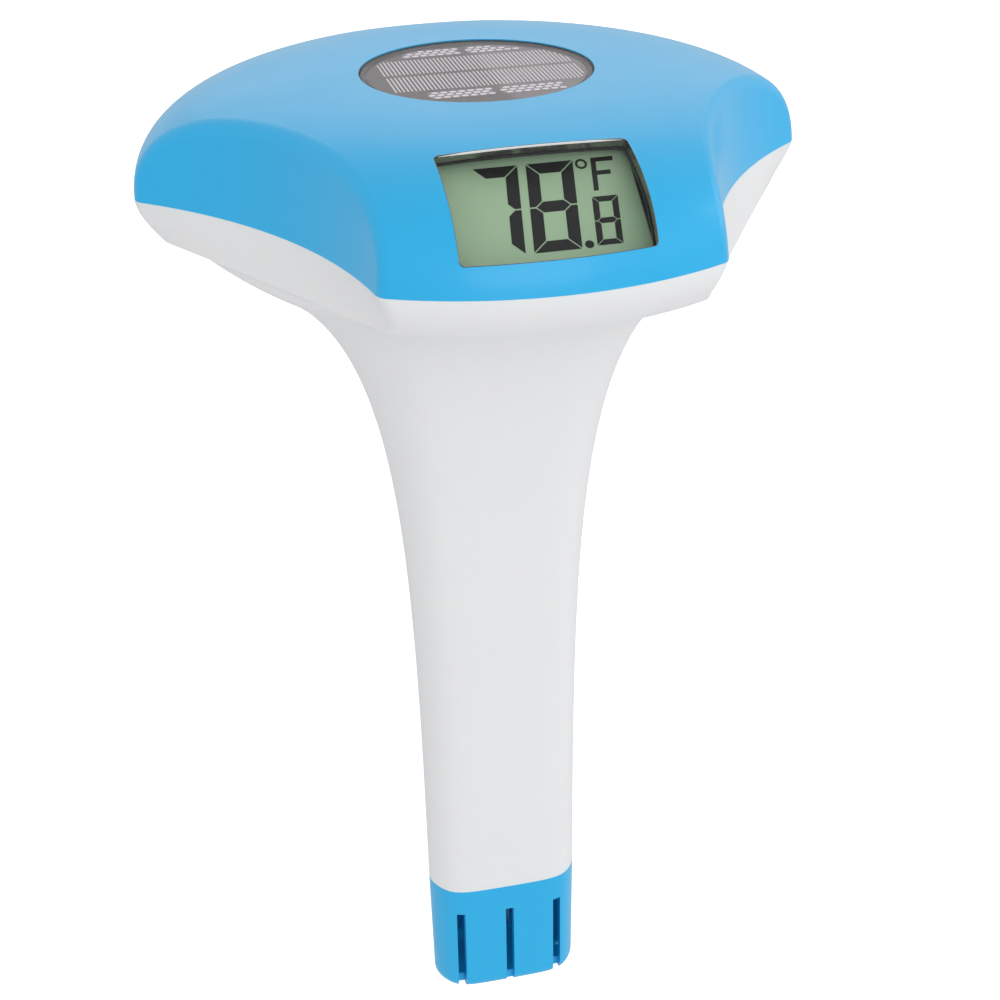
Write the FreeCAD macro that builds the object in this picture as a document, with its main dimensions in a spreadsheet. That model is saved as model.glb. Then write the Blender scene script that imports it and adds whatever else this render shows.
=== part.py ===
"""Floating pool thermometer: a three-lobed float on a hollow stem, built as separate pieces.

Frame: the origin is the centre of the sensor guard's flat base, +Z runs up the stem, and the
display faces -Y.  Lengths are millimetres.  Three scallops, at 90, 210 and 330 degrees, part the
three lobes, and the display sits in the lobe at 270 degrees.
"""
import FreeCAD, Part
import math
import os
import re

import Sketcher
from FreeCAD import Placement, Rotation, Vector

DRIVING_SIZES = {
    # head
    "head_radius": 75.0,
    "seam_height": 219.0,
    "dome_rise": 23.6,
    "dome_flatness": 4.2,
    "dome_roundness": 2.27,
    "scallop_near": 55.5,
    "scallop_half_chord": 40.2,
    "scallop_sagitta": 7.83,
    "scallop_lean": 6.0,
    "corner_round": 3.5,
    "cover_wall": 2.4,
    "rim_drop": 9.5,
    "rim_inset": 5.5,
    "rim_near": 58.4,
    "rim_sagitta": 0.35,
    "rim_wall": 4.6,
    # bell and stem
    "stem_flat": 15.0,
    "stem_corner": 20.45,
    "flare_wide": 28.8,
    "flare_wide_length": 33.0,
    "flare_edge": 18.6,
    "flare_edge_length": 8.6,
    "stem_foot": 33.0,
    "stem_wall": 2.0,
    "spigot_length": 6.4,
    "spigot_gap": 0.15,
    "floor_thickness": 2.4,
    # sensor guard
    "guard_draft": 0.5,
    "guard_wall": 2.2,
    "guard_floor": 2.6,
    "guard_round": 3.2,
    "slot_width": 2.1,
    "slot_pitch": 12.8,
    "slot_top": 25.6,
    # solar unit
    "solar_radius": 25.2,
    "solar_top": 23.2,
    "solar_window_thickness": 0.5,
    "solar_gasket_thickness": 0.25,
    "solar_panel_radius": 23.7,
    "solar_panel_rise": 0.2,
    "solar_panel_thickness": 1.2,
    # display
    "display_tilt": 34.7,
    "display_forward": 55.1,
    "display_lift": 11.75,
    "opening_left": 20.1,
    "opening_right": 18.5,
    "opening_high": 9.95,
    "opening_low_side": 16.45,
    "opening_low_middle": 18.3,
    "display_half_width": 19.9,
    "display_high": 11.9,
    "display_low": 15.0,
    "view_half_width": 19.35,
    "view_high": 11.5,
    "glass_thickness": 1.6,
    "board_half_width": 24.5,
    "board_thickness": 1.2,
    "board_drop": 4.0,
    "small_screw_radius": 0.8,
    # tray and battery
    "tray_radius": 46.0,
    "tray_thickness": 1.8,
    "tray_drop": 3.7,
    "boss_distance": 39.0,
    "cell_radius": 12.25,
    "cell_thickness": 5.0,
    "battery_back": 14.0,
    # unit button
    "button_radius": 5.9,
    "button_lift": 10.0,
    "button_travel": 0.6,
    # probe and ballast
    "probe_radius": 3.0,
    "probe_bottom": 8.0,
    "probe_top": 31.5,
    "cable_radius": 1.1,
    "ballast_radius": 12.2,
    "ballast_height": 30.0,
}

LOBES = (270.0, 30.0, 150.0)
SCALLOPS = (90.0, 210.0, 330.0)

doc = FreeCAD.newDocument("PoolThermometer")
sheet = doc.addObject("Spreadsheet::Sheet", "Sizes")
for row, (alias, value) in enumerate(DRIVING_SIZES.items(), start=1):
    sheet.set("A%d" % row, alias)
    sheet.set("B%d" % row, str(value))
    sheet.setAlias("B%d" % row, alias)
doc.recompute()

subparts = []


# ---------------------------------------------------------------- helpers

def size(alias):
    """The number that the sheet holds under this alias."""
    return float(sheet.get(alias))


def cells(text):
    """An expression in plain aliases, rewritten so that each alias points at the sheet."""
    return re.sub(r"[a-z_]+", lambda m: "Sizes." + m[0] if m[0] in DRIVING_SIZES else m[0], str(text))


def value_of(text):
    """The number that an expression in sheet aliases comes to."""
    return float(sheet.evalExpression(cells(text)))


def bind(thing, **expressions):
    """Ties properties of a document object to the sheet; Base_z stands for Placement.Base.z."""
    for name, text in expressions.items():
        target = "Placement.Base." + name[-1] if name.startswith("Base_") else name
        thing.setExpression(target, cells(text))
    return thing


def keep(thing, label):
    """Names a finished sub-part and lists it for export."""
    thing.Label = label
    subparts.append(thing)
    return thing


def solid_part(label, shape, placement=None):
    """A sub-part whose shape comes from Part's own functions."""
    part = doc.addObject("Part::Feature", label)
    part.Shape = shape
    if placement is not None:
        part.Placement = placement
    return keep(part, label)


def primitive(kind, name, **expressions):
    """A Part primitive tied to the sheet."""
    return bind(doc.addObject("Part::" + kind, name), **expressions)


def cut(label, base, tool):
    """Base less tool, as a document boolean."""
    result = doc.addObject("Part::Cut", label)
    result.Base = base
    result.Tool = tool
    return result


def new_body(label):
    return doc.addObject("PartDesign::Body", label)


def plane(body, role):
    """One of the body's own origin planes."""
    return next(item for item in body.Origin.OriginFeatures if item.Role == role)


def attach(body, role, name):
    """An empty sketch on one of the body's origin planes."""
    sketch = body.newObject("Sketcher::SketchObject", name)
    sketch.AttachmentSupport = [(plane(body, role), "")]
    sketch.MapMode = "FlatFace"
    return sketch


def outline_sketch(body, role, name, corners):
    """A closed polygon whose corners are each tied to a pair of expressions."""
    sketch = attach(body, role, name)
    spots = [Vector(value_of(x), value_of(y), 0) for x, y in corners]
    count = len(spots)
    for i in range(count):
        sketch.addGeometry(Part.LineSegment(spots[i], spots[(i + 1) % count]), False)
    for i in range(count):
        sketch.addConstraint(Sketcher.Constraint("Coincident", i, 2, (i + 1) % count, 1))
    for i, (pair, spot) in enumerate(zip(corners, spots)):
        for kind, axis, text, now in (("DistanceX", -2, pair[0], spot.x), ("DistanceY", -1, pair[1], spot.y)):
            if abs(now) < 1e-9:
                sketch.addConstraint(Sketcher.Constraint("PointOnObject", i, 1, axis))
                continue
            number = sketch.addConstraint(Sketcher.Constraint(kind, -1, 1, i, 1, now))
            word = "%s_%d" % ("across" if kind == "DistanceX" else "along", i)
            sketch.renameConstraint(number, word)
            sketch.setExpression("Constraints." + word, cells(text))
    return sketch


def circle_sketch(body, role, name, radius, spot=("0", "0")):
    """A circle tied to the sheet by its radius and its centre."""
    sketch = attach(body, role, name)
    centre = Vector(value_of(spot[0]), value_of(spot[1]), 0)
    sketch.addGeometry(Part.Circle(centre, Vector(0, 0, 1), value_of(radius)), False)
    number = sketch.addConstraint(Sketcher.Constraint("Radius", 0, value_of(radius)))
    sketch.renameConstraint(number, "reach")
    sketch.setExpression("Constraints.reach", cells(radius))
    for kind, axis, text, now in (("DistanceX", -2, spot[0], centre.x), ("DistanceY", -1, spot[1], centre.y)):
        if abs(now) < 1e-9:
            sketch.addConstraint(Sketcher.Constraint("PointOnObject", 0, 3, axis))
            continue
        number = sketch.addConstraint(Sketcher.Constraint(kind, -1, 1, 0, 3, now))
        sketch.renameConstraint(number, kind)
        sketch.setExpression("Constraints." + kind, cells(text))
    return sketch


def pad(body, sketch, length, name="Pad"):
    feature = body.newObject("PartDesign::Pad", name)
    feature.Profile = sketch
    return bind(feature, Length=length)


def pocket(body, sketch, length, name="Pocket", reverse=True):
    """A pocket cut into the solid above the sketch plane, or below it."""
    feature = body.newObject("PartDesign::Pocket", name)
    feature.Profile = sketch
    feature.Reversed = reverse
    return bind(feature, Length=length)


def turned(label, profile, placement=None, **expressions):
    """A body of revolution about its own Z axis, from (radius, height) corners."""
    body = new_body(label)
    sketch = outline_sketch(body, "XZ_Plane", label + "_profile", profile)
    turn = body.newObject("PartDesign::Revolution", label + "_turn")
    turn.Profile = sketch
    turn.ReferenceAxis = (sketch, ["V_Axis"])
    turn.Angle = 360.0
    if placement is not None:
        body.Placement = placement
    bind(body, **expressions)
    return body


def ring(label, outer, inner, height, level):
    """A plain ring round the Z axis, from one cylinder cut by another."""
    outside = primitive("Cylinder", label + "_outside", Radius=outer, Height=height, Base_z=level)
    inside = primitive("Cylinder", label + "_inside", Radius=inner, Height=height, Base_z=level)
    return cut(label, outside, inside)


def polar(radius, degrees, height=0.0):
    turn = math.radians(degrees)
    return Vector(radius * math.cos(turn), radius * math.sin(turn), height)


def cylinder(radius, height, centre, direction=Vector(0, 0, 1)):
    return Part.makeCylinder(radius, height, centre, direction)


def copies_about_axis(shape, degrees):
    """The shape, which is drawn towards 0 degrees, repeated at each of these directions."""
    placed = []
    for turn in degrees:
        copy = shape.copy()
        copy.rotate(Vector(0, 0, 0), Vector(0, 0, 1), turn)
        placed.append(copy)
    return placed


def lead(points, radius, bend):
    """A round wire or cable in straight runs, with a round bend at every corner."""
    edges = []
    reached = points[0]
    for before, corner, after in zip(points, points[1:], points[2:]):
        arriving = (corner - before).normalize()
        leaving = (after - corner).normalize()
        half_turn = arriving.getAngle(leaving) / 2
        setback = bend * math.tan(half_turn)
        start = corner - arriving * setback
        end = corner + leaving * setback
        middle = corner + (leaving - arriving).normalize() * (bend / math.cos(half_turn) - bend)
        edges.append(Part.makeLine(reached, start))
        edges.append(Part.Arc(start, middle, end).toShape())
        reached = end
    edges.append(Part.makeLine(reached, points[-1]))
    rim = Part.Circle(points[0], points[1] - points[0], radius).toShape()
    return Part.Wire(edges).makePipe(Part.Face(Part.Wire([rim])))


# ---------------------------------------------------------------- shared outlines

SEAM = size("seam_height")
HEAD_RADIUS = size("head_radius")


def chord_radius(sagitta):
    """The radius of an arc that rises by this much over the scallop's chord."""
    half = size("scallop_half_chord")
    return (half ** 2 + sagitta ** 2) / (2 * sagitta)


def head_outline(height, inset=0.0, depth=0.0):
    """The three-lobed outline, at a depth of 0 to 1 down the rim and moved in by inset."""
    lobe = HEAD_RADIUS - size("rim_inset") * depth ** 2 - inset
    near = size("scallop_near") + (size("rim_near") - size("scallop_near")) * depth - inset
    sagitta = size("scallop_sagitta") * (1 - depth) + size("rim_sagitta") * depth
    bend = chord_radius(sagitta) + inset
    corner = max(size("corner_round") - inset, 1.0)
    centre_x = near + bend
    round_x = (centre_x ** 2 + (lobe - corner) ** 2 - (bend + corner) ** 2) / (2 * centre_x)
    round_y = math.sqrt((lobe - corner) ** 2 - round_x ** 2)
    rounding = Vector(round_x, round_y, 0)
    on_lobe = rounding * (lobe / (lobe - corner))
    to_scallop = Vector(round_x - centre_x, round_y, 0)
    on_scallop = Vector(centre_x, 0, 0) + to_scallop * (bend / (bend + corner))
    outward = (on_lobe - rounding).normalize() + (on_scallop - rounding).normalize()
    mid_corner = rounding + outward.normalize() * corner
    flip = lambda spot: Vector(spot.x, -spot.y, 0)
    edges = []
    for turn in SCALLOPS:
        arcs = [
            (flip(on_lobe), flip(mid_corner), flip(on_scallop)),
            (flip(on_scallop), Vector(near, 0, 0), on_scallop),
            (on_scallop, mid_corner, on_lobe),
        ]
        spin = Rotation(Vector(0, 0, 1), turn)
        lift = Vector(0, 0, height)
        edges += [Part.Arc(*[spin * spot + lift for spot in arc]).toShape() for arc in arcs]
        first = spin * on_lobe + lift
        last = Rotation(Vector(0, 0, 1), turn + 120) * flip(on_lobe) + lift
        edges.append(Part.Arc(first, polar(lobe, turn + 60, height), last).toShape())
    return Part.Wire(edges)


def head_prism(inset, bottom, top):
    """The outline at the seam, moved in by inset, as a straight prism between two heights."""
    return Part.Face(head_outline(bottom, inset)).extrude(Vector(0, 0, top - bottom))


def dome_profile(inset):
    """Half of the dome's section: a superellipse from the seam up to the axis."""
    radius = HEAD_RADIUS - inset
    rise = size("dome_rise") - inset
    steps = 18
    points = []
    for i in range(steps + 1):
        turn = math.pi / 2 * i / steps
        across = radius * max(math.cos(turn), 0.0) ** (2 / size("dome_flatness"))
        up = rise * math.sin(turn) ** (2 / size("dome_roundness"))
        points.append(Vector(0.0 if i == steps else across, 0, up))
    curve = Part.BSplineCurve()
    curve.interpolate(Points=points, InitialTangent=Vector(0, 0, 1), FinalTangent=Vector(-1, 0, 0))
    foot = Part.LineSegment(Vector(0, 0, 0), points[0]).toShape()
    axis = Part.LineSegment(points[-1], Vector(0, 0, 0)).toShape()
    return Part.Face(Part.Wire([foot, curve.toShape(), axis]))


def head_solid(inset):
    """The solid head above the seam, with its scallops, moved in by inset."""
    rise = size("dome_rise")
    dome = dome_profile(inset).revolve(Vector(0, 0, 0), Vector(0, 0, 1), 360)
    dome.rotate(Vector(0, 0, 0), Vector(0, 0, 1), LOBES[2])
    bend = chord_radius(size("scallop_sagitta"))
    lean = math.tan(math.radians(size("scallop_lean")))
    centre = Vector(size("scallop_near") + bend, 0, -1)
    low = bend + inset - lean
    high = bend + inset + lean * (rise + 1)
    scallop = Part.makeCone(low, high, rise + 2, centre, Vector(0, 0, 1))
    head = dome.cut(copies_about_axis(scallop, SCALLOPS))
    crease = [
        edge
        for edge in head.Edges
        if min(math.hypot(v.X, v.Y) for v in edge.Vertexes) > HEAD_RADIUS / 2
        and edge.BoundBox.ZLength > rise / 4
    ]
    head = head.makeFillet(max(size("corner_round") - inset / 2, 1.0), crease)
    head.translate(Vector(0, 0, SEAM))
    return head


def stem_section(height, flat, corner, scallop, sharpness):
    """A closed section: flats towards the lobes, flats towards the scallops and a circle, blended."""
    step = 3
    points = []
    for degrees in range(0, 360, step):
        total = corner ** -sharpness
        for turn in LOBES:
            total += (max(math.cos(math.radians(degrees - turn)), 0) / flat) ** sharpness
        for turn in SCALLOPS:
            total += (max(math.cos(math.radians(degrees - turn)), 0) / scallop) ** sharpness
        points.append(polar(total ** (-1 / sharpness), degrees, height))
    curve = Part.BSplineCurve()
    curve.interpolate(Points=points, PeriodicFlag=True)
    return Part.Wire([curve.toShape()])


BELL_TOP = SEAM - size("rim_drop")
STEM_LENGTH = BELL_TOP - size("stem_foot")
STEM_SHARPNESS = 12.0


def bell_section(height, drop, inset):
    """The section that lies this far below the bell's top, moved in by inset, set at a height."""
    flare = size("flare_wide") * math.exp(-drop / size("flare_wide_length"))
    flare += size("flare_edge") * math.exp(-drop / size("flare_edge_length"))
    corner = size("stem_corner") + flare
    flat = size("stem_flat") + flare + 8 * math.exp(-drop / 6)
    scallop = corner - 11 + 26 * (1 - math.exp(-drop / 7))
    sharpness = STEM_SHARPNESS + 14 * math.exp(-drop / 10)
    return stem_section(height, flat - inset, corner - inset, scallop - inset, sharpness)


def bell_solid(lift, inset, foot):
    """The trumpet from under the rim to a height; lift and inset thin it for the hollow."""
    stations = 14
    sections = []
    for i in range(stations + 1):
        drop = STEM_LENGTH * (i / stations) ** 2.2
        height = BELL_TOP - (BELL_TOP - foot) * (i / stations) ** 2.2
        sections.append(bell_section(height, drop + lift, inset))
    return Part.makeLoft(sections, True, False)


def display_point(x, y, z):
    """A point given in the display's own frame: right, up its face, and out of its face."""
    return DISPLAY_PLACE.multVec(Vector(x, y, z))


DISPLAY_PLACE = Placement(
    Vector(0, -size("display_forward"), SEAM + size("display_lift")),
    Rotation(Vector(1, 0, 0), size("display_tilt")),
)


def opening_prism(gap):
    """The display opening as a prism along the display's normal, made smaller all round by gap."""
    left = gap - size("opening_left")
    right = size("opening_right") - gap
    high = size("opening_high") - gap
    low_side = gap - size("opening_low_side")
    low_middle = gap - size("opening_low_middle")
    corners = [Vector(left, low_side, 0), Vector(left, high, 0), Vector(right, high, 0), Vector(right, low_side, 0)]
    edges = [Part.LineSegment(corners[i], corners[i + 1]).toShape() for i in range(3)]
    edges.append(Part.Arc(corners[3], Vector((left + right) / 2, low_middle, 0), corners[0]).toShape())
    prism = Part.Face(Part.Wire(edges)).extrude(Vector(0, 0, 30))
    upright = [edge for edge in prism.Edges if edge.BoundBox.ZLength > 20]
    prism = prism.makeFillet(1.2, upright)
    prism.Placement = DISPLAY_PLACE
    return prism


def rising(height):
    """A height measured from the seam, as a height in the frame."""
    return SEAM + height


# ---------------------------------------------------------------- shells

WALL = size("cover_wall")
SOLAR_SEAT = size("solar_top") - size("solar_window_thickness") - size("solar_gasket_thickness")
PANEL_SEAT = SOLAR_SEAT + size("solar_panel_rise") - size("solar_panel_thickness")
PANEL_LEDGE = 1.5
SCREW_SPOTS = [(side * 22.4, up) for side in (-1, 1) for up in (5.8, -6.8)]
BOARD_BACK = -size("board_drop") - size("board_thickness")
BOSS_RADIUS = 2.5
FRAME_FACE = 0.6
SCREW_TIP = 4.2
OUTWARD = DISPLAY_PLACE.Rotation * Vector(0, 0, 1)

outer_head = head_solid(0)
inner_head = head_solid(WALL)
cover_skin = outer_head.cut(inner_head)


def solar_well():
    """The stepped round hole in the dome: window seat, panel seat and the way through for the wires."""
    way = size("solar_panel_radius") - 1.8
    panel = size("solar_panel_radius") + 0.15
    window = size("solar_radius") + 0.15
    profile = [(0, 10), (way, 10), (way, PANEL_SEAT), (panel, PANEL_SEAT), (panel, SOLAR_SEAT), (window, SOLAR_SEAT)]
    profile += [(window, 35), (0, 35), (0, 10)]
    outline = Part.makePolygon([Vector(x, 0, rising(z)) for x, z in profile])
    return Part.Face(outline).revolve(Vector(0, 0, 0), Vector(0, 0, 1), 360)


def top_cover():
    """The blue dome: skin, solar seat, display screw bosses, display opening and button bore."""
    seat = cylinder(28.0, 2.8, Vector(0, 0, rising(PANEL_SEAT - PANEL_LEDGE)))
    below_skin = head_solid(1.0)
    bosses = [
        cylinder(BOSS_RADIUS, 14, display_point(x, y, FRAME_FACE + 0.02), OUTWARD).common(below_skin)
        for x, y in SCREW_SPOTS
    ]
    shell = cover_skin.fuse([seat] + bosses)
    openings = [
        solar_well(),
        cylinder(size("button_radius") + 0.1, 25, Vector(0, 45, rising(size("button_lift"))), Vector(0, 1, 0)),
        opening_prism(0),
    ]
    openings += [
        cylinder(size("small_screw_radius"), SCREW_TIP + 0.3, display_point(x, y, 0), OUTWARD)
        for x, y in SCREW_SPOTS
    ]
    return shell.cut(openings)


solid_part("top_cover", top_cover())


def lower_housing():
    """The white moulding: rim, trumpet bell, hollow stem, spigot, seal groove, lip and bosses."""
    depths = (0, 0.4, 0.75, 1)
    drop = size("rim_drop")
    wall = size("rim_wall")
    rim = Part.makeLoft([head_outline(rising(-drop * t), 0, t) for t in depths], True, False)
    rim_hollow = Part.makeLoft([head_outline(rising(-drop * t), wall, t) for t in depths], True, False)
    foot = size("stem_foot")
    outside = rim.fuse(bell_solid(0, 0, foot))
    hollow = bell_solid(1.6, size("stem_wall") - 0.1, foot + 1.5)
    shell = outside.cut([rim_hollow, hollow])
    spigot_foot = foot - size("spigot_length")
    spigot_wire = bell_section(spigot_foot, STEM_LENGTH, size("guard_wall") + size("spigot_gap"))
    spigot = Part.Face(spigot_wire).extrude(Vector(0, 0, size("spigot_length") + 1.4))
    lip = head_prism(2.9, rising(0), rising(2.5)).cut(head_prism(wall - 0.3, rising(-1), rising(3)))
    lip = lip.cut(Part.makeBox(48, 20, 6, Vector(-24, -80, rising(-1))))
    bosses = [
        cylinder(3.4, 40, polar(size("boss_distance"), turn, rising(-45.5))).common(outside) for turn in LOBES
    ]
    boss_top = rising(-size("tray_drop") - size("tray_thickness"))
    shell = shell.fuse([spigot, lip] + bosses)
    floor = spigot_foot + size("floor_thickness")
    groove = head_prism(0.8, rising(-1), rising(0)).cut(head_prism(1.8, rising(-2), rising(1)))
    tools = [
        groove,
        cylinder(9.3, foot + 2 - floor, Vector(0, 0, floor)),
        cylinder(4.5, 10, Vector(0, 0, spigot_foot - 1)),
    ]
    tools += [cylinder(0.9, 8.5, polar(size("boss_distance"), turn, boss_top - 8.5)) for turn in LOBES]
    return shell.cut(tools)


solid_part("lower_housing", lower_housing())
solid_part(
    "housing_seal",
    head_prism(0.82, rising(-1), rising(0)).cut(head_prism(1.78, rising(-2), rising(1))),
)


def guard_section(height, inset):
    """The guard's outline at a height: the stem's own, drawn in by the draft and by inset."""
    draft = size("guard_draft") * (1 - height / size("stem_foot"))
    return bell_section(height, STEM_LENGTH, draft + inset)


def sensor_guard():
    """The slotted cap over the probe, open at the top, with a rounded flat base."""
    top = size("stem_foot")
    edge = size("guard_round")
    wall = size("guard_wall")
    sections = [guard_section(top, 0)]
    steps = 8
    for i in range(steps + 1):
        turn = math.pi / 2 * i / steps
        sections.append(guard_section(edge * (1 - math.sin(turn)), edge * (1 - math.cos(turn))))
    cap = Part.makeLoft(sections, True, True)
    hollow = Part.makeLoft([guard_section(height, wall) for height in (size("guard_floor"), top + 1)], True, True)
    flat = size("stem_flat")
    slots = []
    for offset, start in ((-1, flat - 4.8), (0, flat - wall - 0.6), (1, flat - 4.8)):
        middle = offset * size("slot_pitch")
        corner = Vector(start, middle - size("slot_width") / 2, -1)
        slots += copies_about_axis(Part.makeBox(20, size("slot_width"), size("slot_top") + 1, corner), LOBES)
    return cap.cut([hollow] + slots)


solid_part("sensor_guard", sensor_guard())


# ---------------------------------------------------------------- display

def lcd_window():
    return cover_skin.common(opening_prism(0.12))


def lcd_gasket():
    """A thin ring behind the window's edge and the cover round it."""
    sheet_of_rubber = head_solid(WALL + 0.05).cut(head_solid(WALL + 0.5))
    bosses = [cylinder(BOSS_RADIUS + 0.05, 30, display_point(x, y, 0), OUTWARD) for x, y in SCREW_SPOTS]
    return sheet_of_rubber.common(opening_prism(-0.8).cut(opening_prism(0.35))).cut(bosses)


def lcd_frame():
    """The dark frame that carries the glass, trimmed to the inside of the dome."""
    back = -size("board_drop") + 0.05
    deep = FRAME_FACE - back
    half = size("display_half_width") + 0.1
    low = -size("display_low") - 0.1
    high = size("display_high") + 0.1
    middle = Part.makeBox(2 * (half + 1.1), high - low + 2, deep, Vector(-half - 1.1, low - 1, back))
    ears = Part.makeBox(51, 19, deep, Vector(-25.5, -10, back))
    glass_bay = Part.makeBox(2 * half, high - low, -back, Vector(-half, low, back))
    view = size("view_half_width")
    aperture = Part.makeBox(2 * view, size("view_high") + 14.2, 5, Vector(-view, -14.2, -1))
    holes = [cylinder(1.0, 10, Vector(x, y, back - 1)) for x, y in SCREW_SPOTS]
    frame = middle.fuse(ears).cut([glass_bay, aperture] + holes)
    frame.Placement = DISPLAY_PLACE
    return frame.common(head_solid(WALL + 0.7))


solid_part("lcd_window", lcd_window())
solid_part("lcd_gasket", lcd_gasket())
solid_part("lcd_frame", lcd_frame())


def display_slab(label, corners, thickness, back):
    """A flat body in the display's frame, from its outline, its thickness and its back face."""
    body = new_body(label)
    outline = outline_sketch(body, "XY_Plane", label + "_outline", corners)
    pad(body, outline, thickness)
    body.Placement = DISPLAY_PLACE.multiply(Placement(Vector(0, 0, back), Rotation()))
    return body


def rectangle(left, low, right, high):
    return [(left, low), (right, low), (right, high), (left, high)]


glass = rectangle("-display_half_width", "-display_low", "display_half_width", "display_high")
keep(display_slab("lcd_panel", glass, "glass_thickness", -size("glass_thickness")), "lcd_panel")
keep(
    display_slab("lcd_reflector", rectangle("-18.5", "-12.6", "18.5", "9.8"), "0.3", -size("glass_thickness") - 0.3),
    "lcd_reflector",
)


def zebra_connectors():
    """Two elastomer strips that join the board's pads to the glass."""
    tall = size("board_drop") - size("glass_thickness")
    return Part.makeCompound([Part.makeBox(36, 1.9, tall, Vector(-18, low, -size("board_drop"))) for low in (-14.8, 10.1)])


solid_part("zebra_connectors", zebra_connectors(), DISPLAY_PLACE)


def segment_shapes(wide, tall, stroke, gap):
    """The seven strokes of an upright digit, keyed a to g, as lists of corners."""
    half = tall / 2
    mid = stroke / 2
    top = [(gap, tall), (wide - gap, tall), (wide - gap - stroke, tall - stroke), (gap + stroke, tall - stroke)]
    right = [
        (wide, tall - gap),
        (wide - stroke, tall - gap - stroke),
        (wide - stroke, half + mid + gap),
        (wide - mid, half + gap),
        (wide, half + gap),
    ]
    bar = [
        (mid + gap, half),
        (stroke + gap, half + mid),
        (wide - stroke - gap, half + mid),
        (wide - mid - gap, half),
        (wide - stroke - gap, half - mid),
        (stroke + gap, half - mid),
    ]
    across = lambda shape: [(wide - x, y) for x, y in shape]
    under = lambda shape: [(x, tall - y) for x, y in shape]
    return {
        "a": top,
        "b": right,
        "c": under(right),
        "d": under(top),
        "e": under(across(right)),
        "f": across(right),
        "g": bar,
    }


INK = 0.06
LEAN = math.tan(math.radians(7.5))


def ink(corners, x, y):
    """One printed stroke: corners leaned to the right, moved to (x, y) and given thickness."""
    spots = [Vector(x + across + up * LEAN, y + up, 0) for across, up in corners]
    return Part.Face(Part.makePolygon(spots + spots[:1])).extrude(Vector(0, 0, INK))


def digit(lit, x, y, wide, tall, stroke, gap):
    shapes = segment_shapes(wide, tall, stroke, gap)
    return [ink(shapes[name], x, y) for name in lit]


def lcd_segments():
    """The reading 78.8 with a degree ring and F, as thin strokes on the glass."""
    low = -11.74
    strokes = digit("abc", -14.86, low, 9.1, 20.9, 2.5, 0.19)
    strokes += digit("abcdefg", -4.06, low, 9.46, 20.9, 2.5, 0.19)
    strokes += digit("abcdefg", 8.47, low + 0.31, 5.18, 11.37, 1.25, 0.12)
    letter_tall = 7.9
    pen = 1.0
    letter_x = 10.75
    letter_y = 1.4
    strokes.append(ink([(0, 0), (pen, 0), (pen, letter_tall), (0, letter_tall)], letter_x, letter_y))
    for up, wide in ((letter_tall - pen, 4.5), (letter_tall / 2 - pen / 4, 3.8)):
        strokes.append(ink([(pen + 0.01, up), (wide, up), (wide, up + pen), (pen + 0.01, up + pen)], letter_x, letter_y))
    ring_spot = Vector(9.65, 8.05, 0)
    strokes.append(Part.makeCylinder(1.2, INK, ring_spot).cut(Part.makeCylinder(0.75, INK, ring_spot)))
    strokes.append(Part.makeCylinder(0.9, INK, Vector(7.0, -10.95, 0)))
    return Part.makeCompound(strokes)


solid_part("lcd_segments", lcd_segments(), DISPLAY_PLACE)


# ---------------------------------------------------------------- main board and what it carries

board_corners = [
    ("-20", "-15.2"),
    ("20", "-15.2"),
    ("20", "-9.5"),
    ("board_half_width", "-9.5"),
    ("board_half_width", "8.5"),
    ("20", "8.5"),
    ("20", "12.4"),
    ("-20", "12.4"),
    ("-20", "8.5"),
    ("-board_half_width", "8.5"),
    ("-board_half_width", "-9.5"),
    ("-20", "-9.5"),
]
board = display_slab("main_board", board_corners, "board_thickness", BOARD_BACK)
for number, (x, y) in enumerate(SCREW_SPOTS):
    hole = circle_sketch(board, "XY_Plane", "board_hole_%d" % number, "small_screw_radius + 0.2", (str(x), str(y)))
    pocket(board, hole, "board_thickness + 1", "Hole_%d" % number)
keep(board, "main_board")

blob = primitive("Ellipsoid", "controller_blob")
blob.Radius1 = 1.6
blob.Radius2 = 5.5
blob.Radius3 = 5.0
blob.Angle1 = 0
blob.Placement = DISPLAY_PLACE.multiply(Placement(Vector(-7, -2, BOARD_BACK), Rotation(Vector(1, 0, 0), 180)))
keep(blob, "controller_blob")

crystal = primitive("Cylinder", "quartz_crystal")
crystal.Radius = 1.0
crystal.Height = 6.0
crystal.Placement = DISPLAY_PLACE.multiply(
    Placement(Vector(-3, -8, BOARD_BACK - 1.02), Rotation(Vector(0, 1, 0), 90))
)
keep(crystal, "quartz_crystal")


def board_capacitors():
    """Four small chip capacitors on the back of the board."""
    return Part.makeCompound([Part.makeBox(2, 1.2, 1, Vector(x, 5.5, BOARD_BACK - 1)) for x in (0, 4, 8, 12)])


solid_part("board_capacitors", board_capacitors(), DISPLAY_PLACE)


def cable_header():
    outside = Part.makeBox(8, 5, 3, Vector(4, -3.5, BOARD_BACK - 3))
    return outside.cut(Part.makeBox(6, 3, 2, Vector(5, -2.5, BOARD_BACK - 3)))


solid_part("cable_header", cable_header(), DISPLAY_PLACE)
PLUG_TALL = 4.6
solid_part(
    "cable_plug",
    Part.makeBox(5.9, 2.9, PLUG_TALL, Vector(5.05, -2.45, BOARD_BACK - 1.05 - PLUG_TALL)),
    DISPLAY_PLACE,
)


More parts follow.
